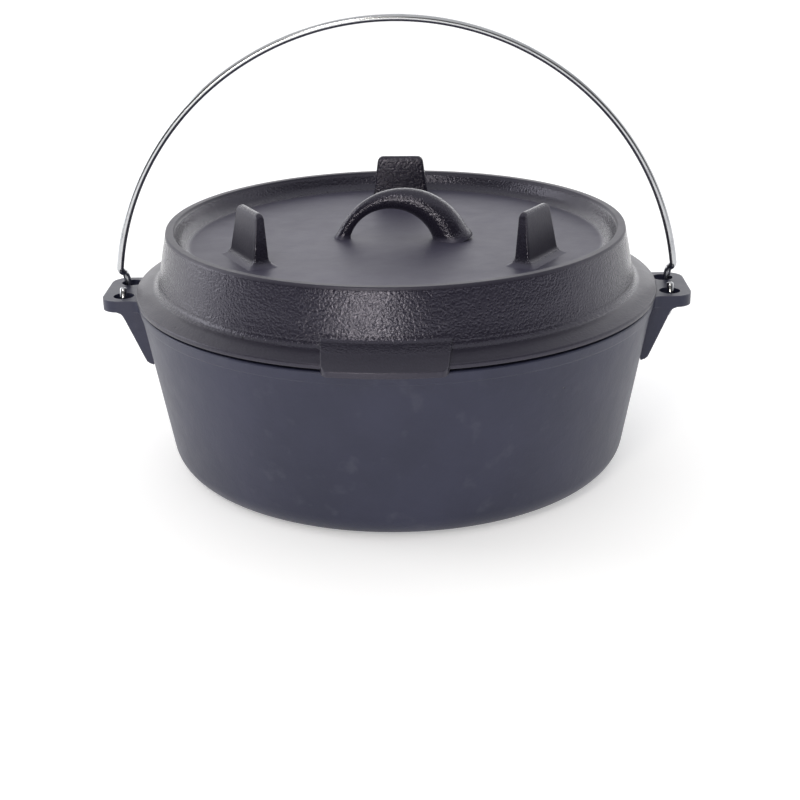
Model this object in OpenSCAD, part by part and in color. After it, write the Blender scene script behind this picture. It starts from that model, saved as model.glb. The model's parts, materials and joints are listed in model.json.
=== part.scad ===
// Camp dutch oven: a cast pot with two drilled ears, a cast lid with a griddle top,
// and a wire bail. Millimetres, +Z up. The origin is the middle of the pot's flat base.
// +X runs towards one ear, -Y towards the lid's lifting tab.

/* [Pot] */
// Height from the base to the rim
pot_h = 103; // [85:1:130]
// Radius of the outer wall at the rim
pot_r = 153.7; // [150:0.1:156]
// Lean of the wall from upright, in degrees
pot_draft = 9.6; // [6:0.1:13]
// Thickness of the wall
pot_wall = 4.6; // [4:0.1:6]
// Thickness of the floor
pot_floor = 5; // [4:0.5:8]
// Radius of the outer corner round the base
base_round = 16; // [8:0.1:20]
// Height of the thicker band below the rim
band_h = 7; // [4:0.5:12]
// How far the band stands out from the wall
band_step = 0.5; // [0.2:0.1:1]

/* [Ears] */
// Distance from the middle of the pot to an ear's outer edge
ear_reach = 175; // [173:0.5:180]
// Half the width of an ear
ear_half = 24.5; // [24:0.5:28]
// Height of an ear's top face
ear_top = 102; // [96:0.5:102.5]
// Thickness of an ear
ear_t = 7; // [6:0.5:8]
// Radius of an ear's outer corners
ear_round = 10; // [8:0.5:14]
// Distance from the middle of the pot to the ear holes
hole_x = 162.6; // [162:0.1:165]
// Half the distance between an ear's two holes
hole_y = 13.8; // [13.4:0.1:14]
// Diameter of an ear hole
hole_d = 12.4; // [12:0.1:13]
// Thickness of the two ribs below an ear
rib_t = 7.2; // [6.5:0.1:8]
// Height at which the ribs meet the wall
rib_foot = 62; // [50:1:70]

/* [Lid] */
// Radius of the lid's flange
flange_r = 155; // [154:0.5:157]
// Height of the lip above the rim
lip_h = 40; // [36:0.2:44]
// Radius of the lip's outer edge
lip_r = 135.4; // [132:0.2:138]
// Radius of the lid's wall at its foot
foot_r = 140.8; // [139:0.2:142]
// Depth of the griddle tray below the lip
tray_depth = 10.7; // [8:0.1:14]
// Thickness of the lid
lid_t = 4.8; // [4:0.1:6]
// Width of the lifting tab at its front
tab_w = 65; // [50:1:80]
// Reach of the lifting tab from the middle of the lid
tab_reach = 163; // [160:0.5:164]
// Turn of the lid on the pot, in degrees
lid_turn = -1.4; // [-5:0.1:5]

/* [Lid legs] */
// Distance from the middle of the lid to the legs
leg_r = 94; // [90:1:100]
// Height of a leg above the tray
leg_h = 29.6; // [22:0.2:32]
// Width of a leg at its foot
leg_w = 36.5; // [30:1:40]
// Width of a leg at its top
leg_top_w = 28.5; // [24:1:34]

/* [Loop handle] */
// Height of the loop above the tray
loop_h = 28.9; // [26:0.2:34]
// Width of the loop's bar
loop_w = 11; // [9:0.5:14]

/* [Bail] */
// Radius of the bail's arch, to the middle of the wire
bail_r = 167.7; // [166.5:0.1:168.5]
// Diameter of the wire
wire_d = 4.2; // [3.6:0.1:4.4]
// Angle at which a hook's ring turns into the arch, in degrees
neck_angle = 78; // [66:1:80]

/* [Hidden] */
$fn = 96;
far = 400;

rim_z = pot_h;
rim_r = pot_r + band_step;
seat_gap = 0.2;
seat_z = rim_z + seat_gap;
lip_z = rim_z + lip_h;
tray_z = lip_z - tray_depth;
under_z = tray_z - lid_t;
ear_bottom = ear_top - ear_t;
hinge_z = ear_top - ear_t / 2;
leg_angles = [90, 210, 330];

// Radius of the pot's outer wall at height z.
function wall_r(z) = pot_r - (pot_h - z) * tan(pot_draft);

// Points of an arc about (cx, cz), from angle a0 to angle a1.
function arc(cx, cz, r, a0, a1, n) =
    [for (i = [0:n]) let (a = a0 + (a1 - a0) * i / n) [cx + r * cos(a), cz + r * sin(a)]];

// Corner of radius r between a floor at height z and the leaning wall, shifted in by t.
function corner_cx(z, r, t) = wall_r(z + r) - (t + r) / cos(pot_draft);

module pot_shell() {
    inner_round = 9;
    edge = 1.2;
    band_z = rim_z - band_h;
    inner_rim = wall_r(rim_z) - pot_wall / cos(pot_draft);
    outer = concat(
        [[0, 0]],
        arc(corner_cx(0, base_round, 0), base_round, base_round, -90, -pot_draft, 10),
        [[wall_r(band_z), band_z],
         [wall_r(band_z) + band_step, band_z + band_step]],
        arc(rim_r - edge, rim_z - edge, edge, 0, 90, 4));
    inner = concat(
        arc(inner_rim + edge, rim_z - edge, edge, 90, 180, 4),
        arc(corner_cx(pot_floor, inner_round, pot_wall), pot_floor + inner_round,
            inner_round, -pot_draft, -90, 8),
        [[0, pot_floor]]);
    rotate_extrude() polygon(concat(outer, inner));
}

// Plan of one ear on the +X side, with a round fillet on each side where it joins the wall.
module ear_plan() {
    fillet = 6;
    fillet_x = 156.5;
    inside_x = 130;
    corner_x = ear_reach - ear_round;
    corner_y = ear_half - ear_round;
    difference() {
        union() {
            translate([inside_x, -ear_half]) square([corner_x - inside_x, 2 * ear_half]);
            translate([inside_x, -corner_y]) square([ear_reach - inside_x, 2 * corner_y]);
            for (s = [-1, 1])
                translate([corner_x, s * corner_y]) circle(ear_round);
            translate([inside_x, -ear_half - fillet / 2])
                square([fillet_x - inside_x, 2 * ear_half + fillet]);
        }
        for (s = [-1, 1])
            translate([fillet_x, s * (ear_half + fillet)]) circle(fillet);
    }
}

// Outline of a rib, in the X-Z plane, on the +X side. Its root lies inside the wall.
module rib_outline() {
    root = 12;
    overlap = 1;
    heel = 1.5;
    // The rounded foot, as steps outwards from the wall and up from the rib's lowest point.
    foot = [[3.6, 3.5], [2.2, 1.4], [-1, 0]];
    wall_x = wall_r(rib_foot);
    polygon(concat(
        [[wall_x - root, ear_bottom + overlap], [hole_x, ear_bottom + overlap],
         [hole_x, ear_bottom - heel]],
        [for (p = foot) [wall_x + p[0], rib_foot + p[1]]],
        [[wall_x - root, rib_foot - overlap]]));
}

module ear() {
    difference() {
        union() {
            translate([0, 0, ear_bottom]) linear_extrude(ear_t) ear_plan();
            for (s = [-1, 1])
                translate([0, s * (ear_half - rib_t / 2) + rib_t / 2, 0])
                    rotate([90, 0, 0]) linear_extrude(rib_t) rib_outline();
        }
        for (s = [-1, 1])
            translate([hole_x, s * hole_y, ear_bottom - 1]) cylinder(d = hole_d, h = ear_t + 2);
        translate([0, 0, -1]) cylinder(r1 = wall_r(-1) - 2, r2 = wall_r(rim_z + 1) - 2, h = rim_z + 2);
    }
}

module pot() {
    color("#3d3e46") {
        pot_shell();
        ear();
        mirror([1, 0, 0]) ear();
    }
}

module lid_shell() {
    edge = 1.2;
    lip_t = 4.6;
    // Cove between the tray and the lip's inner wall.
    cove = 8;
    cove_cx = lip_r - lip_t - 1.8 - cove;
    // Where the lid's wall meets the flange, and how the flange's top falls away.
    skirt_z = rim_z + 11.5;
    flange_z = rim_z + 3.9;
    flange_foot = [foot_r + 4.2, rim_z + 8.3];
    // The flange touches the rim only up to land_r and stands clear of it outside.
    land_r = 150.8;
    clear_z = seat_z + 1;
    // Ring that drops inside the pot's rim.
    ring_z = rim_z - 3.4;
    ring_out = 146.5;
    ring_in = 141.5;
    wall_in = foot_r - lid_t;
    crown = 7;
    crown_cx = wall_in - crown - 1.2;
    rotate_extrude() polygon(concat(
        [[0, tray_z]],
        arc(cove_cx, tray_z + cove, cove, -90, -20, 7),
        arc(lip_r - lip_t + edge, lip_z - edge, edge, 160, 90, 3),
        arc(lip_r - edge, lip_z - edge, edge, 90, 0, 4),
        [[foot_r - 0.2, skirt_z + 2], [foot_r + 0.2, skirt_z], [foot_r + 1, skirt_z - 1.6],
         [foot_r + 2.6, skirt_z - 2.8], flange_foot],
        [[flange_r - 0.7, flange_z], [flange_r, flange_z - 0.7], [flange_r, clear_z + 0.8],
         [flange_r - 0.8, clear_z], [land_r + 0.4, clear_z], [land_r, seat_z]],
        [[ring_out, seat_z], [ring_out, ring_z + 0.6], [ring_out - 0.6, ring_z],
         [ring_in + 0.6, ring_z], [ring_in, ring_z + 0.6], [ring_in, rim_z + 1.5]],
        [[wall_in + 1.5, rim_z + 7], [wall_in, rim_z + 12]],
        arc(crown_cx, under_z - crown, crown, 8, 90, 7),
        [[0, under_z]]));
}

// Leg standing on the tray: a blade that narrows upwards on all four sides.
module lid_leg() {
    sunk = 1;
    top = leg_h + sunk;
    corner = 3;
    foot_in = 5;
    foot_out = 5.2;
    top_in = 4;
    span = 60;
    intersection() {
        rotate([90, 0, 90]) translate([0, 0, -span / 2]) linear_extrude(span) {
            polygon([[-leg_w / 2, 0], [leg_w / 2, 0], [leg_top_w / 2, top - corner],
                     [leg_top_w / 2 - corner, top], [-leg_top_w / 2 + corner, top],
                     [-leg_top_w / 2, top - corner]]);
            for (s = [-1, 1])
                translate([s * (leg_top_w / 2 - corner - 0.3), top - corner]) circle(corner);
        }
        rotate([90, 0, 0]) translate([0, 0, -span / 2]) linear_extrude(span)
            polygon([[-foot_in, 0], [foot_out, 0], [0.8, top - 1], [0, top],
                     [-top_in, top], [-top_in - 1, top - 1]]);
    }
}

// Crescent loop: thin at its -X foot, thick at its +X foot.
module loop_handle() {
    outer_r = 42.1;
    outer_x = 4.4;
    inner_r = 25.8;
    inner_x = -2.4;
    bar_t = 10.3;
    rotate([90, 0, 0]) translate([0, 0, -loop_w / 2]) linear_extrude(loop_w) intersection() {
        difference() {
            translate([outer_x, loop_h - outer_r]) circle(outer_r);
            translate([inner_x, loop_h - bar_t - inner_r]) circle(inner_r);
        }
        translate([outer_x - outer_r, -1]) square([2 * outer_r, outer_r]);
    }
}

// Tab in front: an arc of the flange carried outwards, its top sloping down from the wall.
module lift_tab() {
    low = rim_z + 0.4;
    high = low + 3.5;
    slope = 22;
    corner = 6;
    side_draft = 2;
    // The tab's root stays inside the metal of the lid's wall.
    root_r = foot_r - 2;
    root_low_r = foot_r + 2;
    root_low_z = rim_z + 3;
    root_high_z = rim_z + 9;
    top_r = foot_r + 1.5;
    top_z = high + (tab_reach - top_r) * tan(slope);
    back_y = -root_r + corner;
    corner_x = tab_w / 2 - corner;
    corner_y = sqrt(tab_reach * tab_reach - corner_x * corner_x) - corner;
    intersection() {
        translate([0, 0, low]) linear_extrude(far) {
            polygon([[-tab_w / 2 - side_draft, back_y], [tab_w / 2 + side_draft, back_y],
                     [tab_w / 2, -corner_y], [-tab_w / 2, -corner_y]]);
            translate([-corner_x, -far]) square([2 * corner_x, far + back_y]);
            for (s = [-1, 1]) translate([s * corner_x, -corner_y]) circle(corner);
        }
        rotate_extrude() polygon([[root_low_r, low], [tab_reach, low], [tab_reach, high],
                                  [top_r, top_z], [root_r, top_z], [root_r, root_high_z],
                                  [root_low_r, root_low_z]]);
    }
}

module lid() {
    color("#34343b") rotate([0, 0, lid_turn]) {
        lid_shell();
        for (a = leg_angles)
            rotate([0, 0, a]) translate([leg_r, 0, tray_z - 1]) lid_leg();
        translate([0, 0, tray_z]) loop_handle();
        lift_tab();
    }
}

// Half of the bail as points: down the arch from its top, through the neck, then round the
// hook's ring, which goes down through one ear hole and comes up through the other.
arch_z = hinge_z - 5.9;
rear_x = hole_x + 2.4;
front_x = hole_x + 0.4;
ring_r = hole_y;
neck_r = ring_r * cos(neck_angle) / (1 - cos(neck_angle));
neck_z = hinge_z + (ring_r + neck_r) * sin(neck_angle);
arch_foot = asin((neck_z - arch_z) / bail_r);
foot_x = bail_r * cos(arch_foot);
tip_angle = -210;
neck_len = neck_r * neck_angle * PI / 180;

// Sideways place of the wire at a fraction u of the way down the neck.
function ease(u) = 3 * u * u - 2 * u * u * u;
function jog(u) = foot_x + neck_len * tan(arch_foot) * u * (1 - u) * (1 - u)
    + (rear_x - foot_x) * ease(u);

// Sideways place of the ring, which leans inwards on its way from the rear hole to the front one.
function ring_x(a) = rear_x + (front_x - rear_x) * ease(min(1, max(0, -a / 180)));

function arch_point(a) = [bail_r * cos(a), 0, arch_z + bail_r * sin(a)];
function neck_point(a) = [jog(a / neck_angle), neck_r * (1 - cos(a)), neck_z - neck_r * sin(a)];
function ring_point(a) = [ring_x(a), ring_r * cos(a), hinge_z + ring_r * sin(a)];

half = concat(
    [for (i = [0:32]) arch_point(90 + (arch_foot - 90) * i / 32)],
    [for (i = [1:6]) neck_point(neck_angle * i / 6)],
    [for (i = [1:34]) ring_point(neck_angle + (tip_angle - neck_angle) * i / 34)]);
mirrored = [for (i = [len(half) - 1:-1:1]) [-half[i][0], half[i][1], half[i][2]]];
route = concat(mirrored, half);

function unit(v) = v / norm(v);
function heading(i) = unit(route[min(i + 1, len(route) - 1)] - route[max(i - 1, 0)]);

// Ring of the wire's outline about point c: side is never along the wire on this route.
function wire_ring(c, t, r, n) =
    let (side = unit(cross(t, [1, 1, 0])), up = cross(side, t))
    [for (k = [0:n - 1]) c + r * cos(360 * k / n) * side + r * sin(360 * k / n) * up];

module bail() {
    n = 12;
    last = len(route) - 1;
    wire_r = wire_d / 2;
    tips = [[-0.8, 0.6], [-0.45, 0.88]];
    rings = concat(
        [for (t = tips) wire_ring(route[0] + t[0] * wire_r * heading(0), heading(0), wire_r * t[1], n)],
        [for (i = [0:last]) wire_ring(route[i], heading(i), wire_r, n)],
        [for (j = [1, 0]) wire_ring(route[last] - tips[j][0] * wire_r * heading(last),
                                    heading(last), wire_r * tips[j][1], n)]);
    m = len(rings);
    sides = [for (i = [0:m - 2], k = [0:n - 1])
        [i * n + k, i * n + (k + 1) % n, (i + 1) * n + (k + 1) % n, (i + 1) * n + k]];
    color("#c9cacd") polyhedron(
        points = [for (r = rings, p = r) p],
        faces = concat([[for (k = [n - 1:-1:0]) k]], sides, [[for (k = [0:n - 1]) (m - 1) * n + k]]),
        convexity = 4);
}

pot();
lid();
bail();
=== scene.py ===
import bpy
import json
import math
from mathutils import Matrix, Vector


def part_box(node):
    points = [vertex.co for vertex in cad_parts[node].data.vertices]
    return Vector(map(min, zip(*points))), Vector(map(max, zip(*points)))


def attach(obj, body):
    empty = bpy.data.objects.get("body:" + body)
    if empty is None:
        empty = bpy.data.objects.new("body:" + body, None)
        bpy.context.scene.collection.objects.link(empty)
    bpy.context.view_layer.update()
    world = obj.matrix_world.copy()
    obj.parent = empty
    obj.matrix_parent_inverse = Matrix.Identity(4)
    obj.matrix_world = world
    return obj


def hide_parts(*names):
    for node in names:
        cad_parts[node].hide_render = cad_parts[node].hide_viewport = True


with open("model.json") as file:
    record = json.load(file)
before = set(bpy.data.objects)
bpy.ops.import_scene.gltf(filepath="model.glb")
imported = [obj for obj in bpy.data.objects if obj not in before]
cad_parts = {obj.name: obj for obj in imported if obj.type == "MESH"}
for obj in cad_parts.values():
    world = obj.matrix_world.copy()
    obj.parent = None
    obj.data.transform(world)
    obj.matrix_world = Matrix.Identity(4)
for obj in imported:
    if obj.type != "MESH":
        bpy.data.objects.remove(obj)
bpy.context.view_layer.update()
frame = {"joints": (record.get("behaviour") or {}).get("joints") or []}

mm = 0.001
up = Vector((0, 0, 1))
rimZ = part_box("pot")[1].z
swing = next(j for j in frame["joints"] if j["name"] == "bail_swing")
hingeZ = swing["pos_m"][2]
print("frame loaded, rim at", round(rimZ / mm, 1), "mm")


# the camera stands a little to the right and leans a little

cameraSet = {
    "aim": (1.2 * mm, 0, 28.1 * mm),
    "distance": 904.5 * mm,
    "elevation": 21.55,
    "azimuth": 0.94,
    "lean": -0.86,
    "lens": 65.3,
    "sensor": 36,
    "farthest": 50,
}


def makeCamera(s):
    rise, turn = math.radians(s["elevation"]), math.radians(s["azimuth"])
    back = Vector((math.sin(turn) * math.cos(rise), -math.cos(turn) * math.cos(rise), math.sin(rise)))
    bpy.ops.object.camera_add(location=Vector(s["aim"]) + back * s["distance"])
    cam = bpy.context.object
    cam.name = "studioCamera"
    look = (-back).to_track_quat("-Z", "Y").to_matrix().to_4x4()
    cam.rotation_euler = (look @ Matrix.Rotation(math.radians(s["lean"]), 4, "Z")).to_euler()
    cam.data.lens = s["lens"]
    cam.data.sensor_width = s["sensor"]
    cam.data.clip_end = s["farthest"]
    bpy.context.scene.camera = cam


makeCamera(cameraSet)
print("camera set")


# modelling helpers

def pickNone():
    if bpy.context.object and bpy.context.object.mode != "OBJECT":
        bpy.ops.object.mode_set(mode="OBJECT")
    bpy.ops.object.select_all(action="DESELECT")


def pickOnly(piece):
    pickNone()
    piece.select_set(True)
    bpy.context.view_layer.objects.active = piece


def editPiece(piece, kind="VERT"):
    pickOnly(piece)
    bpy.ops.object.mode_set(mode="EDIT")
    bpy.ops.mesh.select_mode(type=kind)
    bpy.ops.mesh.select_all(action="DESELECT")


def pickParts(piece, kind, test):
    # selects the vertices whose place, or the faces whose middle and normal, pass the test
    editPiece(piece, kind)
    bpy.ops.object.mode_set(mode="OBJECT")
    mesh = piece.data
    for vert in mesh.vertices:
        vert.select = kind == "VERT" and test(vert.co)
    for face in mesh.polygons:
        face.select = kind == "FACE" and test(face.center, face.normal)
    bpy.ops.object.mode_set(mode="EDIT")


def arcPoints(cx, cy, radius, start, end, steps):
    # points in mm on an arc, angles in degrees
    angles = [math.radians(start + (end - start) * i / steps) for i in range(steps + 1)]
    return [(cx + radius * math.cos(a), cy + radius * math.sin(a)) for a in angles]


def drawChain(name, points):
    # a plane collapsed to one point, which is then extruded from point to point
    pickNone()
    bpy.ops.mesh.primitive_plane_add(size=mm)
    piece = bpy.context.object
    piece.name = name
    bpy.ops.object.mode_set(mode="EDIT")
    bpy.ops.mesh.select_mode(type="VERT")
    bpy.ops.mesh.select_all(action="SELECT")
    bpy.ops.mesh.merge(type="CENTER")
    here = Vector(points[0])
    bpy.ops.transform.translate(value=here)
    for point in points[1:]:
        bpy.ops.mesh.extrude_vertices_move(TRANSFORM_OT_translate={"value": Vector(point) - here})
        here = Vector(point)
    bpy.ops.mesh.select_all(action="SELECT")
    return piece


def drawSlab(name, outline, lift, thick):
    # closed outline in mm, placed by lift(u, v), made into a slab along thick
    piece = drawChain(name, [lift(u * mm, v * mm) for u, v in outline])
    bpy.ops.mesh.edge_face_add()
    bpy.ops.mesh.extrude_region_move(TRANSFORM_OT_translate={"value": thick})
    bpy.ops.mesh.select_all(action="SELECT")
    bpy.ops.mesh.normals_make_consistent(inside=False)
    bpy.ops.object.mode_set(mode="OBJECT")
    return piece


def turnShell(name, profile, steps):
    # profile in mm as (radius, height), turned once round; a flat disc closes each open end
    piece = drawChain(name, [(r * mm, 0, z * mm) for r, z in profile])
    bpy.ops.mesh.spin(steps=steps, angle=math.tau, center=(0, 0, 0), axis=(0, 0, 1))
    bpy.ops.mesh.select_all(action="SELECT")
    bpy.ops.mesh.remove_doubles(threshold=0.01 * mm)
    for radius, height in (profile[0], profile[-1]):
        near = 0.02 * mm
        pickParts(piece, "VERT", lambda co: abs(co.z - height * mm) < near
                  and abs(math.hypot(co.x, co.y) - radius * mm) < near)
        bpy.ops.mesh.edge_face_add()
    bpy.ops.mesh.select_all(action="SELECT")
    bpy.ops.mesh.normals_make_consistent(inside=False)
    bpy.ops.object.mode_set(mode="OBJECT")
    return piece


def useModifier(piece, kind, **values):
    pickOnly(piece)
    bpy.ops.object.modifier_add(type=kind)
    modifier = piece.modifiers[-1]
    for key, value in values.items():
        setattr(modifier, key, value)
    bpy.ops.object.modifier_apply(modifier=modifier.name)


def combine(piece, tool, operation="UNION"):
    useModifier(piece, "BOOLEAN", operation=operation, object=tool, solver="EXACT")
    bpy.data.objects.remove(tool, do_unlink=True)


def softenEdges(piece, width):
    useModifier(piece, "BEVEL", width=width * mm, segments=3, limit_method="ANGLE",
                angle_limit=math.radians(40), miter_outer="MITER_ARC")


def mirrorCopy(piece):
    pickOnly(piece)
    bpy.ops.object.duplicate()
    other = bpy.context.object
    bpy.ops.object.mode_set(mode="EDIT")
    bpy.ops.mesh.select_all(action="SELECT")
    bpy.ops.transform.mirror(constraint_axis=(True, False, False), center_override=(0, 0, 0))
    bpy.ops.mesh.normals_make_consistent(inside=False)
    bpy.ops.object.mode_set(mode="OBJECT")
    return other


def turnCopy(piece, degrees):
    pickOnly(piece)
    bpy.ops.object.duplicate()
    other = bpy.context.object
    other.rotation_euler.z = math.radians(degrees)
    bpy.ops.object.transform_apply(location=False, rotation=True, scale=False)
    return other


def finishSurface(piece, angle):
    editPiece(piece)
    bpy.ops.mesh.select_all(action="SELECT")
    bpy.ops.mesh.remove_doubles(threshold=0.005 * mm)
    bpy.ops.mesh.dissolve_degenerate(threshold=0.005 * mm)
    bpy.ops.object.mode_set(mode="OBJECT")
    bpy.ops.object.shade_smooth_by_angle(angle=math.radians(angle))
    useModifier(piece, "WEIGHTED_NORMAL", keep_sharp=True, mode="FACE_AREA")


# the pot: a turned shell with a leaning wall, a slightly proud band below the rim, two ears

potSet = {
    "wallRadius": 153.7,      # outside, at the rim
    "draft": 9.6,             # lean of the wall, degrees
    "wall": 4.6,
    "floor": 5.0,
    "cornerOut": 16.0,
    "cornerIn": 9.0,
    "bandHeight": 7.0,
    "bandStep": 0.5,
    "rimRound": 1.2,
    "cuts": (24, 96, 12),      # lowest, end and spacing of the wall's level edges
    "steps": 224,
}

earSet = {
    "reach": 175.0,
    "half": 24.5,
    "top": 102.0,
    "thick": 7.0,
    "corner": 10.0,
    "fillet": 6.0,
    "holeX": 162.6,
    "holeY": 13.8,
    "hole": 12.4,
    "ribThick": 7.2,
    "ribFoot": 62.0,
    "footRound": ((-2.2, 4), (-1, 0), (1.4, 0.9), (3.0, 2.2), (3.8, 3.9)),
    "heelRound": ((-1.6, -4.6), (-0.6, -2.4), (0.8, -0.9), (3, -0.1), (3, 1.5)),
    "edge": 1.1,
}


def wallRadius(z):
    return potSet["wallRadius"] - (rimZ / mm - z) * math.tan(math.radians(potSet["draft"]))


def potProfile(s):
    rim, slope = rimZ / mm, math.cos(math.radians(s["draft"]))
    top, bandZ = s["rimRound"], rim - s["bandHeight"]
    innerRim = s["wallRadius"] - s["wall"] / slope
    outX = wallRadius(s["cornerOut"]) - s["cornerOut"] / slope
    inX = wallRadius(s["floor"] + s["cornerIn"]) - (s["wall"] + s["cornerIn"]) / slope
    outside = arcPoints(outX, s["cornerOut"], s["cornerOut"], -90, -s["draft"], 14)
    # the wall is cut into short lengths, so that its quads stay near square
    low, high, gap = s["cuts"]
    wall = [(wallRadius(z), z) for z in range(low, high, gap)]
    band = [(wallRadius(bandZ), bandZ), (wallRadius(bandZ) + 0.9 * s["bandStep"], bandZ + 0.5),
            (wallRadius(bandZ + 1) + s["bandStep"], bandZ + 1)]
    rimOut = arcPoints(s["wallRadius"] + s["bandStep"] - top, rim - top, top, 0, 90, 5)
    rimIn = arcPoints(innerRim + top, rim - top, top, 90, 180, 5)
    inner = [(wallRadius(z) - s["wall"] / slope, z) for z in range(high - 6, low - 4, -gap)]
    floor = arcPoints(inX, s["floor"] + s["cornerIn"], s["cornerIn"], -s["draft"], -90, 10)
    return outside + wall + band + rimOut + rimIn + inner + floor


def makeEar(s):
    # plan first: wall, front fillet, the two round corners, rear fillet
    corner, half, fillet = s["corner"], s["half"], s["fillet"]
    wallX = wallRadius(s["top"])
    filletX = math.sqrt((wallX + fillet) ** 2 - (half + fillet) ** 2)
    turn = math.degrees(math.atan2(filletX, half + fillet))
    front = arcPoints(filletX, -half - fillet, fillet, 90 + turn, 90, 6)
    rear = arcPoints(filletX, half + fillet, fillet, -90, -90 - turn, 6)
    outer = (arcPoints(s["reach"] - corner, -half + corner, corner, -90, 0, 10)
             + arcPoints(s["reach"] - corner, half - corner, corner, 0, 90, 10))
    inside = [(wallX - 8, half + 3), (wallX - 8, -half - 3)]
    lowZ = s["top"] - s["thick"]
    ear = drawSlab("ear", front + outer + rear + inside, lambda u, v: Vector((u, v, lowZ * mm)),
                   up * s["thick"] * mm)
    # a rib runs from its rounded foot on the wall up to a hollow heel under the ear
    footX, holeX = wallRadius(s["ribFoot"]), s["holeX"]
    rib = ([(footX + x, s["ribFoot"] + z) for x, z in s["footRound"]]
           + [(holeX + x, lowZ + z) for x, z in s["heelRound"]]
           + [(wallRadius(lowZ) - 3, lowZ + 1.5)])
    for side in (-1, 1):
        edgeY = side * (half - 0.02)
        piece = drawSlab("rib", rib, lambda u, v: Vector((u, edgeY * mm, v)),
                         Vector((0, -side * s["ribThick"] * mm, 0)))
        combine(ear, piece)
    for side in (-1, 1):
        pickNone()
        bpy.ops.mesh.primitive_cylinder_add(vertices=40, radius=s["hole"] / 2 * mm, depth=20 * mm,
                                            location=(holeX * mm, side * s["holeY"] * mm, s["top"] * mm))
        combine(ear, bpy.context.object, "DIFFERENCE")
    softenEdges(ear, s["edge"])
    return ear


def makePot():
    pot = turnShell("ovenPot", potProfile(potSet), potSet["steps"])
    ear = makeEar(earSet)
    other = mirrorCopy(ear)
    combine(pot, ear)
    combine(pot, other)
    finishSurface(pot, 32)
    return pot


pot = makePot()
print("pot modelled,", len(pot.data.polygons), "faces")


# the lid: a turned shell with a griddle tray on top, three legs, a loop and a lifting tab

lidSet = {
    "flange": 155.0,
    "lipTop": 143.0,
    "lipRadius": 135.4,
    "lipThick": 4.6,
    "footRadius": 140.8,
    "trayDepth": 10.7,
    "thick": 4.8,
    "cove": 8.0,
    "coveIn": 6.4,            # from the lip's edge to the cove
    "edge": 0.8,
    "wall": ((-2.9, 130.5), (-1.7, 124.0), (-0.6, 118.0)),     # outwards from the foot, height
    "skirt": (4.4, 115.2, 4.2),                                # the same, and its radius
    "slope": (7.8, 110.2),
    "flangeTop": (3.2, 108.4),                                 # inwards from the flange's edge
    "flangeEdge": (106.3, 1.5),
    "land": 150.8,            # the flange rests on the rim only this far out
    "seat": 0.2,
    "clear": 1.2,             # gap over the rim outside the land
    "ring": (146.5, 141.5, 3.4, 0.6),      # outer and inner radius, depth, corner
    "turn": -1.4,
    "steps": 224,
}

legSet = {
    "radius": 94.0,
    "height": 29.6,
    "foot": (36.5, 10.2),      # width round the lid, thickness
    "top": (28.5, 4.6),
    "leanIn": 2.0,
    "fillet": 5.0,
    "round": (3.4, 2.0),       # corner at the top, edge along the top
    "corner": 2.6,
    "sunk": 0.6,
    "angles": (0, 120, 240),
}

loopSet = {
    "height": 28.9,
    "outer": (4.4, 42.1),      # centre, radius
    "inner": (-2.4, 25.8),
    "bar": 10.3,
    "flare": (1.0, 1.6),       # left foot, right foot
    "flareHigh": 4.0,
    "dip": -1.5,               # how far the ends go into the tray
    "steps": 64,
}

tabSet = {
    "width": 65.0,
    "draft": 2.0,              # how much wider each side is at the root
    "reach": 163.0,
    "corner": 6.0,
    "lower": 103.4,
    "edgeTop": 106.9,
    "slope": 22.0,
    "fillet": 4.6,
    "round": 1.3,
    "halfTurn": 17,            # the arc is turned past the tab's sides, degrees each way
}

trayZ = lidSet["lipTop"] - lidSet["trayDepth"]


def lidProfile(s):
    rim, lip, edge = rimZ / mm, s["lipTop"], s["edge"]
    under, wallIn = trayZ - s["thick"], s["footRadius"] - s["thick"]
    coveX = s["lipRadius"] - s["coveIn"] - s["cove"]
    foot, flange, land = s["footRadius"], s["flange"], s["land"]
    tray = arcPoints(coveX, trayZ + s["cove"], s["cove"], -90, -18, 9)
    lipIn = arcPoints(s["lipRadius"] - s["lipThick"] + edge, lip - edge, edge, 162, 90, 4)
    lipOut = arcPoints(s["lipRadius"] - edge, lip - edge, edge, 90, 8, 5)
    wall = [(foot + out, z) for out, z in s["wall"]]
    skirtX, skirtZ, skirtR = s["skirt"]
    skirt = arcPoints(foot + skirtX, skirtZ, skirtR, 176, 262, 8)
    slope = [(foot + s["slope"][0], s["slope"][1]), (flange - s["flangeTop"][0], s["flangeTop"][1])]
    edgeZ, edgeR = s["flangeEdge"]
    edgeOut = arcPoints(flange - edgeR, edgeZ, edgeR, 62, 0, 4)
    clearZ, seatZ = rim + s["clear"], rim + s["seat"]
    below = [(flange, clearZ + 1), (flange - 0.3, clearZ + 0.4), (flange - 1.2, clearZ),
             (land + 0.4, clearZ), (land, seatZ)]
    ringOut, ringIn, depth, corner = s["ring"]
    ring = [(ringOut, seatZ), (ringOut, rim - depth + corner), (ringOut - corner, rim - depth),
            (ringIn + corner, rim - depth), (ringIn, rim - depth + corner), (ringIn - 0.2, rim + 1.5)]
    inner = [(wallIn + 1.5, rim + 7), (wallIn, rim + 12)]
    crown = arcPoints(wallIn - 8.2, under - 7, 7, 8, 90, 8)
    return tray + lipIn + lipOut + wall + skirt + slope + edgeOut + below + ring + inner + crown


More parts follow.
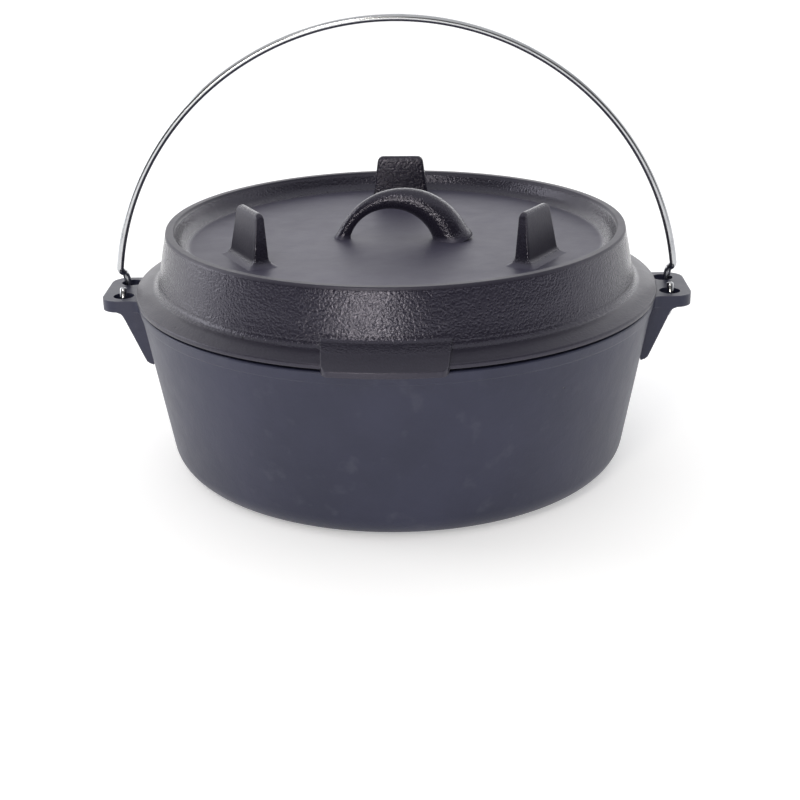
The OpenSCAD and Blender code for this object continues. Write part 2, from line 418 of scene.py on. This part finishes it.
def makeLeg(s):
    # a blade grown upwards from its flared foot; grown at +Y, its width along X
    base = (trayZ - s["sunk"]) * mm
    pickNone()
    bpy.ops.mesh.primitive_plane_add(size=mm, location=(0, s["radius"] * mm, base))
    leg = bpy.context.object
    leg.name = "leg"
    bpy.ops.object.transform_apply(location=True, rotation=False, scale=False)
    fillet, tall = s["fillet"], s["height"]
    stations = []
    for i in range(7):
        high = fillet * (1 - math.cos(math.radians(15 * i)))
        stations.append((high, fillet * (1 - math.sin(math.radians(15 * i))), 0))
    stations += [(tall * k, 0, 0) for k in (0.3, 0.5, 0.7)]
    for i in range(6):
        a = math.radians(18 * i)
        stations.append((tall - s["round"][0] * (1 - math.sin(a)), 0, 1 - math.cos(a)))
    size, level, middle = Vector((1, 1)), base, s["radius"]
    bpy.ops.object.mode_set(mode="EDIT")
    bpy.ops.mesh.select_mode(type="VERT")
    bpy.ops.mesh.select_all(action="SELECT")
    for number, (high, flare, pull) in enumerate(stations):
        k = high / tall
        wide = s["foot"][0] * (1 - k) + s["top"][0] * k + 2 * flare - 2 * pull * s["round"][0]
        deep = s["foot"][1] * (1 - k) + s["top"][1] * k + 2 * flare - 2 * pull * s["round"][1]
        new = s["radius"] - s["leanIn"] * k
        if number:
            bpy.ops.mesh.extrude_region_move()
        grow = (wide / size.x, deep / size.y, 1)
        bpy.ops.transform.resize(value=grow, center_override=(0, middle * mm, level))
        target = (trayZ + high) * mm
        bpy.ops.transform.translate(value=(0, (new - middle) * mm, target - level))
        if not number:
            bpy.ops.mesh.bevel(offset=s["corner"] * mm, segments=5, affect="VERTICES")
        size, level, middle = Vector((wide, deep)), target, new
    bpy.ops.mesh.select_all(action="SELECT")
    bpy.ops.mesh.normals_make_consistent(inside=False)
    # the foot is pushed a little into the tray, so that the two meet cleanly
    pickParts(leg, "FACE", lambda co, normal: normal.z < -0.9 and co.z < (trayZ + 0.1) * mm)
    bpy.ops.transform.translate(value=(0, 0, -0.4 * mm))
    bpy.ops.object.mode_set(mode="OBJECT")
    return leg


def sweepWire(name, stations, sides):
    # a curve through (place, radius) stations, given a round section and made a mesh
    pickNone()
    bpy.ops.curve.primitive_bezier_curve_add()
    wire = bpy.context.object
    wire.name = name
    curve = wire.data
    curve.splines.clear()
    line = curve.splines.new("POLY")
    line.points.add(len(stations) - 1)
    for point, (place, radius) in zip(line.points, stations):
        point.co = (*(Vector(place) * mm), 1)
        point.radius = radius
    curve.dimensions = "3D"
    curve.bevel_depth = mm
    curve.bevel_resolution = (sides - 4) // 2
    curve.use_fill_caps = True
    bpy.ops.object.convert(target="MESH")
    editPiece(wire)
    bpy.ops.mesh.select_all(action="SELECT")
    bpy.ops.mesh.remove_doubles(threshold=0.01 * mm)
    bpy.ops.mesh.normals_make_consistent(inside=False)
    bpy.ops.object.mode_set(mode="OBJECT")
    return wire


def makeLoop(s):
    # a round bar between two circles: slim at its left foot, swelling to its right one
    (outX, outR), (inX, inR) = s["outer"], s["inner"]
    outZ, inZ = s["height"] - outR, s["height"] - s["bar"] - inR
    outEnd, inEnd = (math.degrees(math.asin((s["dip"] - z) / r)) for z, r in ((outZ, outR), (inZ, inR)))
    outside = arcPoints(outX, outZ, outR, 180 - outEnd, outEnd, s["steps"])
    inside = arcPoints(inX, inZ, inR, 180 - inEnd, inEnd, s["steps"])
    stations = []
    for (ax, az), (bx, bz) in zip(outside, inside):
        middle, radius = ((ax + bx) / 2, (az + bz) / 2), math.hypot(ax - bx, az - bz) / 2
        low = max(0, 1 - max(0, middle[1]) / s["flareHigh"])
        radius += s["flare"][middle[0] > 0] * low ** 2
        stations.append(((middle[0], 0, middle[1] + trayZ), radius))
    return sweepWire("loop", stations, 28)


def makeTab(s):
    # a stretch of flange turned about the lid's axis, then trimmed to the tab's plan
    reach, low, high, foot = s["reach"], s["lower"], s["edgeTop"], lidSet["footRadius"]
    slope = math.radians(s["slope"])
    filletX = foot - 0.7 + s["fillet"]
    rootX = filletX - s["fillet"] * math.sin(slope)
    rootZ = high + (reach - rootX) * math.tan(slope)
    root = arcPoints(filletX, rootZ + s["fillet"] * math.cos(slope), s["fillet"], 270 - s["slope"], 188, 6)
    profile = ([(foot + 2.7, low), (reach, low), (reach, high)] + root
               + [(foot - 2.3, root[-1][1] + 0.3), (foot - 1.5, low + 9), (foot + 2.7, low + 3)])
    half = math.radians(s["halfTurn"])
    # a spin turns clockwise seen from above, so it starts at the right end
    start = Vector((math.sin(half), -math.cos(half), 0))
    tab = drawChain("tab", [start * r * mm + up * z * mm for r, z in profile])
    bpy.ops.mesh.edge_face_add()
    bpy.ops.mesh.delete(type="ONLY_FACE")
    bpy.ops.mesh.select_all(action="SELECT")
    bpy.ops.mesh.spin(steps=28, angle=2 * half, center=(0, 0, 0), axis=(0, 0, 1))
    for side in (-1, 1):
        pickParts(tab, "VERT", lambda co: abs(math.atan2(co.x, -co.y) - side * half) < 0.001)
        bpy.ops.mesh.edge_face_add()
    bpy.ops.mesh.select_all(action="SELECT")
    bpy.ops.mesh.normals_make_consistent(inside=False)
    bpy.ops.object.mode_set(mode="OBJECT")
    front, corner = reach + 0.3, s["corner"]
    cornerX = s["width"] / 2 - corner
    cornerY = -math.sqrt((front - corner) ** 2 - cornerX ** 2)
    swing = math.degrees(math.asin(cornerX / (front - corner)))
    wide, back = s["width"] / 2 + s["draft"], -foot + 9
    outline = ([(-wide, back)] + arcPoints(-cornerX, cornerY, corner, 180, 270 - swing, 6)
               + arcPoints(0, 0, front, 270 - swing, 270 + swing, 8)[1:-1]
               + arcPoints(cornerX, cornerY, corner, 270 + swing, 360, 6) + [(wide, back)])
    plan = drawSlab("plan", outline, lambda u, v: Vector((u, v, (low - 5) * mm)), up * 40 * mm)
    combine(tab, plan, "INTERSECT")
    softenEdges(tab, s["round"])
    return tab


def makeLid():
    lid = turnShell("ovenLid", lidProfile(lidSet), lidSet["steps"])
    combine(lid, makeTab(tabSet))
    leg = makeLeg(legSet)
    for angle in legSet["angles"]:
        combine(lid, turnCopy(leg, angle))
    bpy.data.objects.remove(leg, do_unlink=True)
    combine(lid, makeLoop(loopSet))
    pickOnly(lid)
    lid.rotation_euler.z = math.radians(lidSet["turn"])
    bpy.ops.object.transform_apply(location=False, rotation=True, scale=False)
    finishSurface(lid, 34)
    return lid


lid = makeLid()
print("lid modelled,", len(lid.data.polygons), "faces")


# the bail: one length of wire, an arch whose ends turn down through the ear holes and up again

bailSet = {
    "archRadius": 167.7,
    "archDrop": 5.9,           # centre of the arch below the hinge
    "wire": 4.2,
    "neckAngle": 78.0,
    "ringRadius": 13.8,
    "rearX": 165.0,            # the ring leans inwards from the rear hole to the front one
    "frontX": 163.0,
    "tipAngle": -210.0,
    "archSteps": 72,
    "neckSteps": 10,
    "ringSteps": 64,
    "tips": ((0.5, 0.96), (0.95, 0.82), (1.2, 0.6)),     # filed ends: further out, narrower
}


def ease(u):
    return 3 * u ** 2 - 2 * u ** 3


def bailRoute(s):
    hinge, beta = hingeZ / mm, math.radians(s["neckAngle"])
    archZ, ringR = hinge - s["archDrop"], s["ringRadius"]
    neckR = ringR * math.cos(beta) / (1 - math.cos(beta))
    neckZ = hinge + (ringR + neckR) * math.sin(beta)
    archFoot = math.asin((neckZ - archZ) / s["archRadius"])
    footX = s["archRadius"] * math.cos(archFoot)
    half = []
    for i in range(s["archSteps"] + 1):
        a = math.pi / 2 + (archFoot - math.pi / 2) * i / s["archSteps"]
        half.append((s["archRadius"] * math.cos(a), 0, archZ + s["archRadius"] * math.sin(a)))
    for i in range(1, s["neckSteps"] + 1):
        u = i / s["neckSteps"]
        a = beta * u
        x = (footX + neckR * beta * math.tan(archFoot) * u * (1 - u) ** 2
             + (s["rearX"] - footX) * ease(u))
        half.append((x, neckR * (1 - math.cos(a)), neckZ - neckR * math.sin(a)))
    for i in range(1, s["ringSteps"] + 1):
        angle = s["neckAngle"] + (s["tipAngle"] - s["neckAngle"]) * i / s["ringSteps"]
        a, u = math.radians(angle), min(1, max(0, -angle / 180))
        x = s["rearX"] + (s["frontX"] - s["rearX"]) * ease(u)
        half.append((x, ringR * math.cos(a), hinge + ringR * math.sin(a)))
    return [(-x, y, z) for x, y, z in reversed(half[1:])] + half


def makeBail(s):
    route = [Vector(point) for point in bailRoute(s)]
    radius = s["wire"] / 2
    stations = [(place, radius) for place in route]
    first = (route[0] - route[1]).normalized()
    last = (route[-1] - route[-2]).normalized()
    for along, narrow in s["tips"]:
        stations.insert(0, (route[0] + first * along, radius * narrow))
        stations.append((route[-1] + last * along, radius * narrow))
    wire = sweepWire("bailWire", stations, 16)
    bpy.ops.object.shade_smooth_by_angle(angle=math.radians(50))
    return wire


bail = makeBail(bailSet)
print("bail modelled,", len(bail.data.polygons), "faces")


# node helpers

def addNode(tree, kind, **values):
    # a key with in_ in front sets the input of that name, any other the node itself
    node = tree.nodes.new(kind)
    for key, value in values.items():
        if key.startswith("in_"):
            node.inputs[key[3:].replace("_", " ")].default_value = value
        else:
            setattr(node, key, value)
    return node


def newGroup(name, inputs, outputs):
    group = bpy.data.node_groups.new(name, "ShaderNodeTree")
    for label, kind, value in inputs:
        socket = group.interface.new_socket(name=label, in_out="INPUT", socket_type=kind)
        if value is not None:
            socket.default_value = value
    for label, kind in outputs:
        group.interface.new_socket(name=label, in_out="OUTPUT", socket_type=kind)
    return group, group.nodes.new("NodeGroupInput"), group.nodes.new("NodeGroupOutput")


def useGroup(tree, group, **values):
    node = tree.nodes.new("ShaderNodeGroup")
    node.node_tree = group
    for key, value in values.items():
        node.inputs[key].default_value = value
    return node


def blendValue(tree, low, high, factor):
    # low + (high - low) * factor, for plain values
    node = addNode(tree, "ShaderNodeMix", data_type="FLOAT")
    for socket, value in ((node.inputs[2], low), (node.inputs[3], high), (node.inputs[0], factor)):
        if hasattr(value, "is_output"):
            tree.links.new(value, socket)
        else:
            socket.default_value = value
    return node.outputs[0]


def blendColor(tree, low, high, factor):
    node = addNode(tree, "ShaderNodeMix", data_type="RGBA")
    for socket, value in ((node.inputs[6], low), (node.inputs[7], high), (node.inputs[0], factor)):
        if hasattr(value, "is_output"):
            tree.links.new(value, socket)
        else:
            socket.default_value = value
    return node.outputs[2]


def calc(tree, operation, a, b=0.5):
    node = addNode(tree, "ShaderNodeMath", operation=operation)
    for socket, value in zip(node.inputs, (a, b)):
        if hasattr(value, "is_output"):
            tree.links.new(value, socket)
        else:
            socket.default_value = value
    return node.outputs[0]


def spread(tree, value, low, high, toLow=0.0, toHigh=1.0):
    node = addNode(tree, "ShaderNodeMapRange", interpolation_type="SMOOTHSTEP")
    tree.links.new(value, node.inputs["Value"])
    for socket, number in zip(node.inputs[1:5], (low, high, toLow, toHigh)):
        socket.default_value = number
    return node.outputs[0]


def sandGrain():
    # skin left by moulding sand: rounded bumps a millimetre across, with finer grains over them
    group, start, end = newGroup("sandGrain", [("Vector", "NodeSocketVector", None),
                                               ("Size", "NodeSocketFloat", 1.0)],
                                 [("Height", "NodeSocketFloat"), ("Grit", "NodeSocketFloat")])
    links = group.links
    scale = addNode(group, "ShaderNodeVectorMath", operation="SCALE")
    links.new(start.outputs["Vector"], scale.inputs[0])
    links.new(start.outputs["Size"], scale.inputs["Scale"])
    bumps = addNode(group, "ShaderNodeTexNoise", in_Scale=760.0, in_Detail=2.0, in_Roughness=0.6)
    cells = addNode(group, "ShaderNodeTexVoronoi", feature="SMOOTH_F1", in_Scale=900.0)
    fine = addNode(group, "ShaderNodeTexNoise", in_Scale=2100.0, in_Detail=2.0)
    for node in (bumps, cells, fine):
        links.new(scale.outputs[0], node.inputs["Vector"])
    rounded = calc(group, "SUBTRACT", 1.0, cells.outputs["Distance"])
    mixed = blendValue(group, bumps.outputs["Fac"], rounded, 0.4)
    links.new(blendValue(group, mixed, fine.outputs["Fac"], 0.1), end.inputs["Height"])
    links.new(spread(group, fine.outputs["Fac"], 0.50, 0.66), end.inputs["Grit"])
    return group


def castPits():
    # sparse pin holes and short scars
    group, start, end = newGroup("castPits", [("Vector", "NodeSocketVector", None)],
                                 [("Pits", "NodeSocketFloat")])
    links = group.links
    holes = addNode(group, "ShaderNodeTexVoronoi", in_Scale=90.0, in_Randomness=1.0)
    thin = addNode(group, "ShaderNodeTexNoise", in_Scale=34.0, in_Detail=1.0)
    links.new(start.outputs["Vector"], holes.inputs["Vector"])
    links.new(start.outputs["Vector"], thin.inputs["Vector"])
    dots = spread(group, holes.outputs["Distance"], 0.085, 0.035)
    keep = spread(group, thin.outputs["Fac"], 0.60, 0.66)
    links.new(calc(group, "MULTIPLY", dots, keep), end.inputs["Pits"])
    return group


def oilMottle():
    # soft, cloudy unevenness of the seasoning, at two sizes
    group, start, end = newGroup("oilMottle", [("Vector", "NodeSocketVector", None)],
                                 [("Cloud", "NodeSocketFloat"), ("Smear", "NodeSocketFloat")])
    links = group.links
    cloud = addNode(group, "ShaderNodeTexNoise", in_Scale=14.0, in_Detail=5.0, in_Roughness=0.6)
    smear = addNode(group, "ShaderNodeTexNoise", in_Scale=75.0, in_Detail=3.0, in_Roughness=0.55)
    links.new(start.outputs["Vector"], cloud.inputs["Vector"])
    links.new(start.outputs["Vector"], smear.inputs["Vector"])
    links.new(cloud.outputs["Fac"], end.inputs["Cloud"])
    links.new(smear.outputs["Fac"], end.inputs["Smear"])
    return group


def edgeSheenAndWear():
    # picks out edges by comparing the true normal with a rounded one; the edges are painted lighter with
    # it, a painted highlight with a little wear
    group, start, end = newGroup("edgeSheenAndWear", [], [("Edge", "NodeSocketFloat")])
    links = group.links
    rounded = addNode(group, "ShaderNodeBevel", samples=6, in_Radius=1.4 * mm)
    plain = addNode(group, "ShaderNodeNewGeometry")
    dot = addNode(group, "ShaderNodeVectorMath", operation="DOT_PRODUCT")
    links.new(rounded.outputs["Normal"], dot.inputs[0])
    links.new(plain.outputs["Normal"], dot.inputs[1])
    links.new(spread(group, dot.outputs["Value"], 0.985, 0.90), end.inputs["Edge"])
    group.nodes.remove(start)
    return group


grainGroup, pitGroup, mottleGroup, edgeSheenGroup = sandGrain(), castPits(), oilMottle(), edgeSheenAndWear()


def newMaterial(name):
    material = bpy.data.materials.new(name)
    material.use_nodes = True
    tree = material.node_tree
    shader = tree.nodes["Principled BSDF"]
    spot = addNode(tree, "ShaderNodeTexCoord").outputs["Object"]
    return material, tree, shader, spot


def addBump(tree, height, strength, depth, before=None):
    bump = addNode(tree, "ShaderNodeBump", in_Strength=strength, in_Distance=depth * mm)
    tree.links.new(height, bump.inputs["Height"])
    if before:
        tree.links.new(before, bump.inputs["Normal"])
    return bump.outputs["Normal"]


# each finish: base colours, roughness as low and high, bumps as strength and depth in mm

potFinish = {
    "grainSize": 1.2,
    "dark": (0.010, 0.012, 0.032, 1),
    "light": (0.018, 0.020, 0.046, 1),
    "dried": (0.042, 0.044, 0.068, 1),
    "pit": (0.012, 0.012, 0.018, 1),
    # lighter colour for the edges: a painted highlight, with a little wear
    "sheenAndWear": (0.085, 0.086, 0.11, 1),
    "rough": (0.38, 0.50),
    "wornRough": 0.40,
    "grainBump": (0.5, 0.18),
    "smearBump": (0.35, 0.8),
    "pitBump": (0.8, 0.4),
    "specular": 0.55,
    "tint": (0.90, 0.90, 1.0, 1),
}

lidFinish = {
    "grainSize": 1.0,
    "trayDark": (0.036, 0.034, 0.056, 1),
    "trayLight": (0.052, 0.049, 0.076, 1),
    "wallDark": (0.008, 0.007, 0.013, 1),
    "wallLight": (0.020, 0.018, 0.030, 1),
    "pit": (0.010, 0.010, 0.012, 1),
    # lighter colour for the edges: a painted highlight, with a little wear
    "sheenAndWear": (0.07, 0.07, 0.08, 1),
    "trayRough": (0.44, 0.56),
    "wallRough": (0.14, 0.27),
    "grainBump": (1.0, 0.48),
    "smearBump": (0.3, 0.8),
    "pitBump": (0.9, 0.5),
    "specular": 0.6,
    "tint": (0.86, 0.84, 1.0, 1),
    # ramps along the radius or the height, in mm, that tell the lid's parts from each other
    "wallStart": (120.5, 124.5),
    "raisedStart": (trayZ + 0.3, trayZ + 3.5),
    "flangeStart": (142.5, 145.5),
    "flangeBelow": (114.0, 111.0),
    "lipStart": (124.0, 128.0),
    "lipAbove": (140.5, 142.2),
    "legWithin": (112.0, 108.0),
    "frontHalf": (10.0, -20.0),
    # how much of the coarse skin is left there
    "trayGrain": 0.10,
    "flangeGrain": 0.35,
    "lipGrain": 0.1,
    "legGrain": 0.18,
}

wireFinish = {
    "grainSize": 1.6,
    "bright": (0.50, 0.51, 0.53, 1),
    "dull": (0.38, 0.39, 0.42, 1),
    "rough": (0.16, 0.34),
    "grainBump": (0.25, 0.05),
}


def ramp(tree, value, ends):
    # 0 to 1 between two places in mm
    return spread(tree, value, ends[0] * mm, ends[1] * mm)


def layBumps(tree, shader, s, grain, smear, pits):
    normal = addBump(tree, grain, *s["grainBump"])
    normal = addBump(tree, smear, *s["smearBump"], normal)
    holes = calc(tree, "SUBTRACT", 1.0, pits)
    tree.links.new(addBump(tree, holes, *s["pitBump"], normal), shader.inputs["Normal"])
    shader.inputs["Specular IOR Level"].default_value = s["specular"]
    shader.inputs["Specular Tint"].default_value = s["tint"]


def potIron(s):
    # fine, even skin, blue-grey, oiled and dried
    material, tree, shader, spot = newMaterial("pot_iron")
    grain = useGroup(tree, grainGroup, Size=s["grainSize"])
    mottle, pits = useGroup(tree, mottleGroup), useGroup(tree, pitGroup)
    edge = useGroup(tree, edgeSheenGroup).outputs["Edge"]
    for node in (grain, mottle, pits):
        tree.links.new(spot, node.inputs["Vector"])
    smear = mottle.outputs["Smear"]
    base = blendColor(tree, s["dark"], s["light"], spread(tree, mottle.outputs["Cloud"], 0.3, 0.7))
    base = blendColor(tree, base, s["dried"], spread(tree, smear, 0.56, 0.78, 0, 0.5))
    base = blendColor(tree, base, s["pit"], pits.outputs["Pits"])
    # edges painted lighter: a painted highlight along the edges, with a little wear
    base = blendColor(tree, base, s["sheenAndWear"], calc(tree, "MULTIPLY", edge, 0.45))
    tree.links.new(base, shader.inputs["Base Color"])
    rough = blendValue(tree, *s["rough"], smear)
    tree.links.new(blendValue(tree, rough, s["wornRough"], edge), shader.inputs["Roughness"])
    layBumps(tree, shader, s, grain.outputs["Height"], smear, pits.outputs["Pits"])
    return material


def lidIron(s):
    # matt tray; coarse glossy sand skin on the lip's wall, flange, legs and loop
    material, tree, shader, spot = newMaterial("lid_iron")
    grain = useGroup(tree, grainGroup, Size=s["grainSize"])
    mottle, pits = useGroup(tree, mottleGroup), useGroup(tree, pitGroup)
    edge = useGroup(tree, edgeSheenGroup).outputs["Edge"]
    for node in (grain, mottle, pits):
        tree.links.new(spot, node.inputs["Vector"])
    split = addNode(tree, "ShaderNodeSeparateXYZ")
    tree.links.new(spot, split.inputs[0])
    flat = addNode(tree, "ShaderNodeCombineXYZ")
    tree.links.new(split.outputs["X"], flat.inputs["X"])
    tree.links.new(split.outputs["Y"], flat.inputs["Y"])
    reach = addNode(tree, "ShaderNodeVectorMath", operation="LENGTH")
    tree.links.new(flat.outputs[0], reach.inputs[0])
    radius, height = reach.outputs["Value"], split.outputs["Z"]
    wall, raised = ramp(tree, radius, s["wallStart"]), ramp(tree, height, s["raisedStart"])
    coarse = calc(tree, "MAXIMUM", wall, raised)
    # the skin fades on the flange's flat top, on the tab and along the top of the lip
    flange, lipTop = ramp(tree, radius, s["flangeStart"]), ramp(tree, radius, s["lipStart"])
    flange = calc(tree, "MULTIPLY", flange, ramp(tree, height, s["flangeBelow"]))
    lipTop = calc(tree, "MULTIPLY", lipTop, ramp(tree, height, s["lipAbove"]))
    skin = calc(tree, "MULTIPLY", coarse, blendValue(tree, 1.0, s["flangeGrain"], flange))
    skin = calc(tree, "MULTIPLY", skin, blendValue(tree, 1.0, s["lipGrain"], lipTop))
    # the broad faces of the two front legs came out of the mould smoother than their ends
    facing = addNode(tree, "ShaderNodeVectorMath", operation="DOT_PRODUCT")
    outwards = addNode(tree, "ShaderNodeVectorMath", operation="NORMALIZE")
    tree.links.new(flat.outputs[0], outwards.inputs[0])
    tree.links.new(outwards.outputs[0], facing.inputs[0])
    tree.links.new(addNode(tree, "ShaderNodeTexCoord").outputs["Normal"], facing.inputs[1])
    broad = spread(tree, calc(tree, "ABSOLUTE", facing.outputs["Value"]), 0.75, 0.93)
    broad = calc(tree, "MULTIPLY", broad, ramp(tree, split.outputs["Y"], s["frontHalf"]))
    broad = calc(tree, "MULTIPLY", broad, ramp(tree, radius, s["legWithin"]))
    skin = calc(tree, "MULTIPLY", skin, blendValue(tree, 1.0, s["legGrain"], broad))
    cloud = spread(tree, mottle.outputs["Cloud"], 0.3, 0.7)
    trayTone = blendColor(tree, s["trayDark"], s["trayLight"], cloud)
    wallTone = blendColor(tree, s["wallDark"], s["wallLight"], grain.outputs["Height"])
    base = blendColor(tree, trayTone, wallTone, coarse)
    base = blendColor(tree, base, s["pit"], calc(tree, "MULTIPLY", pits.outputs["Pits"], 0.8))
    # edges painted lighter: a painted highlight along the edges, with a little wear
    base = blendColor(tree, base, s["sheenAndWear"], calc(tree, "MULTIPLY", edge, 0.22))
    tree.links.new(base, shader.inputs["Base Color"])
    trayRough = blendValue(tree, *s["trayRough"], mottle.outputs["Smear"])
    wallRough = blendValue(tree, *s["wallRough"], grain.outputs["Grit"])
    tree.links.new(blendValue(tree, trayRough, wallRough, skin), shader.inputs["Roughness"])
    weight = blendValue(tree, s["trayGrain"], 1.0, skin)
    level = calc(tree, "MULTIPLY", grain.outputs["Height"], weight)
    layBumps(tree, shader, s, level, mottle.outputs["Smear"], pits.outputs["Pits"])
    return material


def zincWire(s):
    # bright plated steel with faint drawing marks and small dull patches
    material, tree, shader, spot = newMaterial("bail_wire")
    mottle, grain = useGroup(tree, mottleGroup), useGroup(tree, grainGroup, Size=s["grainSize"])
    tree.links.new(spot, mottle.inputs["Vector"])
    tree.links.new(spot, grain.inputs["Vector"])
    patches = spread(tree, mottle.outputs["Smear"], 0.5, 0.75)
    tree.links.new(blendColor(tree, s["bright"], s["dull"], patches), shader.inputs["Base Color"])
    shader.inputs["Metallic"].default_value = 1.0
    tree.links.new(blendValue(tree, *s["rough"], patches), shader.inputs["Roughness"])
    normal = addBump(tree, grain.outputs["Height"], *s["grainBump"])
    tree.links.new(normal, shader.inputs["Normal"])
    return material


pieces = (
    (pot, "pot", "pot_iron", potIron(potFinish)),
    (lid, "lid", "lid_iron", lidIron(lidFinish)),
    (bail, "bail", "bail_wire", zincWire(wireFinish)),
)
for piece, name, slot, material in pieces:
    piece.data.materials.clear()
    piece.data.materials.append(material)
    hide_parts(name)
    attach(piece, name)
print("materials and bodies set")


# floor, sky and lights

floorSet = {
    "radius": 40,
    "dark": (0.84, 0.84, 0.85, 1),
    "light": (0.87, 0.87, 0.875, 1),
    "rough": 0.75,
    "glow": 0.36,              # keeps the floor white up to the horizon
}

skySet = {"rear": 1.8, "side": 0.3, "front": 0.1, "top": 0.8}

lightSet = {
    "softLeft": {"place": (-1.5, 0.25, 0.6), "aim": 0.08, "size": (0.7, 1.0), "power": 7,
                 "tone": (1, 1, 1)},
    "softRight": {"place": (1.5, 0.25, 0.6), "aim": 0.08, "size": (0.7, 1.0), "power": 2,
                  "tone": (1, 1, 1)},
    "lowFront": {"place": (-0.33, -1.53, 0.33), "aim": 0.13, "size": (0.4, 0.28), "power": 6,
                 "tone": (1, 0.95, 0.86)},
    "keyFront": {"place": (-0.35, -1.25, 1.15), "aim": 0.12, "size": (0.28, 0.2), "power": 4,
                 "tone": (1, 0.95, 0.88)},
}


def makeFloor(s):
    pickNone()
    bpy.ops.mesh.primitive_circle_add(vertices=64, radius=s["radius"], fill_type="NGON")
    floor = bpy.context.object
    floor.name = "paleFloor"
    material, tree, shader, spot = newMaterial("pale_floor")
    noise = addNode(tree, "ShaderNodeTexNoise", in_Scale=6.0, in_Detail=2.0)
    tree.links.new(spot, noise.inputs["Vector"])
    tone = blendColor(tree, s["dark"], s["light"], noise.outputs["Fac"])
    tree.links.new(tone, shader.inputs["Base Color"])
    shader.inputs["Roughness"].default_value = s["rough"]
    shader.inputs["Emission Color"].default_value = (1, 1, 1, 1)
    shader.inputs["Emission Strength"].default_value = s["glow"]
    floor.data.materials.append(material)


def makeSky(s):
    # white behind the oven, dimmer beside and above it, dark in front of it
    world = bpy.data.worlds.new("studioSky")
    bpy.context.scene.world = world
    world.use_nodes = True
    tree = world.node_tree
    back = tree.nodes["Background"]
    split = addNode(tree, "ShaderNodeSeparateXYZ")
    tree.links.new(addNode(tree, "ShaderNodeTexCoord").outputs["Generated"], split.inputs[0])
    rear, side, front, top = ((s[k], s[k], s[k], 1) for k in ("rear", "side", "front", "top"))
    tone = blendColor(tree, side, rear, spread(tree, split.outputs["Y"], 0.2, 0.85))
    tone = blendColor(tree, tone, front, spread(tree, split.outputs["Y"], -0.1, -0.75))
    tone = blendColor(tree, tone, top, spread(tree, split.outputs["Z"], 0.40, 0.85))
    tree.links.new(tone, back.inputs["Color"])


def makeLight(name, s):
    bpy.ops.object.light_add(type="AREA", location=s["place"])
    light = bpy.context.object
    light.name = name
    light.data.shape = "RECTANGLE"
    light.data.size, light.data.size_y = s["size"]
    light.data.energy = s["power"]
    light.data.color = s["tone"]
    look = Vector((0, 0, s["aim"])) - Vector(s["place"])
    light.rotation_euler = look.to_track_quat("-Z", "Y").to_euler()


makeFloor(floorSet)
makeSky(skySet)
for name, values in lightSet.items():
    makeLight(name, values)
bpy.context.scene.view_settings.view_transform = "Standard"
print("floor and lights set")
